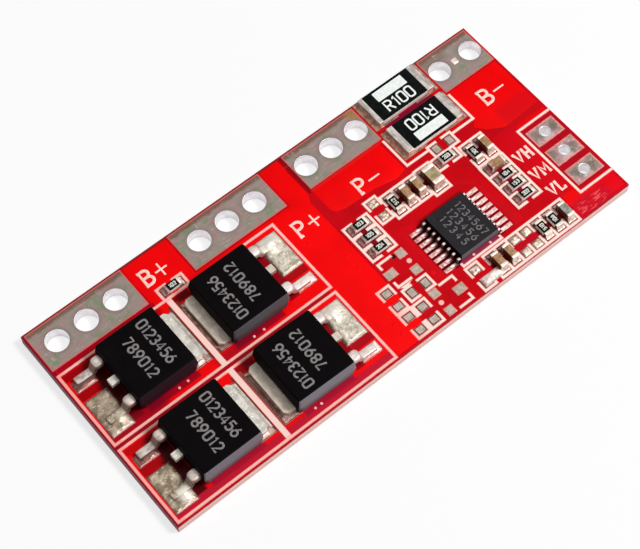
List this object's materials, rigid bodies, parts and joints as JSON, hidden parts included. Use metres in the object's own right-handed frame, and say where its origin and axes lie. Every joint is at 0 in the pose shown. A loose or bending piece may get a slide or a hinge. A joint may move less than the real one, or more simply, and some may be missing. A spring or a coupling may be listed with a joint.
{
  "type": "battery management board",
  "caption": "Flat circuit board with plated power pads along one long edge, power transistors, sense resistors, a protection chip, small chips and tap pads.",
  "frame": {"origin": "middle of the board's underside", "axes": "+X along the board from the battery plus pad towards the tap pads, +Y across the board towards the edge with the power pads, +Z out of the side with the components"},
  "size_m": [0.05, 0.022, 0.0036],
  "materials": {
    "red_mask": "red solder mask over glass fibre, satin gloss",
    "legend_ink": "off-white printed ink",
    "tinned_copper": "dull tinned copper",
    "solder": "bright solder",
    "lead_metal": "tin-plated lead frame",
    "moulding": "black moulded epoxy",
    "resistor_coat": "black coat over white ceramic",
    "capacitor_ceramic": "tan ceramic"
  },
  "bodies": {
    "root": {"board": "red_mask", "legend": "legend_ink", "b_plus_pad": "tinned_copper", "p_plus_pad": "tinned_copper", "p_minus_pad": "tinned_copper", "b_minus_pad": "tinned_copper", "tap_pads": "tinned_copper", "transistor_lands": "tinned_copper", "sense_lands": "tinned_copper", "protection_chip_lands": "tinned_copper", "chip_lands": "tinned_copper", "spare_lands": "tinned_copper", "transistor_1_body": "moulding", "transistor_1_tab": "lead_metal", "transistor_1_leads": "lead_metal", "transistor_2_body": "moulding", "transistor_2_tab": "lead_metal", "transistor_2_leads": "lead_metal", "transistor_3_body": "moulding", "transistor_3_tab": "lead_metal", "transistor_3_leads": "lead_metal", "transistor_4_body": "moulding", "transistor_4_tab": "lead_metal", "transistor_4_leads": "lead_metal", "sense_resistor_1_body": "resistor_coat", "sense_resistor_1_ends": "lead_metal", "sense_resistor_2_body": "resistor_coat", "sense_resistor_2_ends": "lead_metal", "protection_chip_body": "moulding", "protection_chip_leads": "lead_metal", "chip_resistor_1": "resistor_coat", "chip_resistor_2": "resistor_coat", "chip_resistor_3": "resistor_coat", "chip_resistor_4": "resistor_coat", "chip_resistor_5": "resistor_coat", "chip_resistor_6": "resistor_coat", "chip_resistor_7": "resistor_coat", "chip_resistor_8": "resistor_coat", "chip_resistor_9": "resistor_coat", "chip_resistor_10": "resistor_coat", "chip_resistor_11": "resistor_coat", "chip_resistor_12": "resistor_coat", "chip_capacitor_1": "capacitor_ceramic", "chip_capacitor_2": "capacitor_ceramic", "chip_capacitor_3": "capacitor_ceramic", "chip_capacitor_4": "capacitor_ceramic", "chip_capacitor_5": "capacitor_ceramic", "chip_capacitor_6": "capacitor_ceramic", "chip_capacitor_7": "capacitor_ceramic", "chip_capacitor_8": "capacitor_ceramic", "resistor_ends": "lead_metal", "capacitor_ends": "lead_metal", "transistor_solder": "solder", "sense_solder": "solder", "protection_chip_solder": "solder", "chip_solder": "solder", "loose_solder": "solder"}
  },
  "joints": []
}
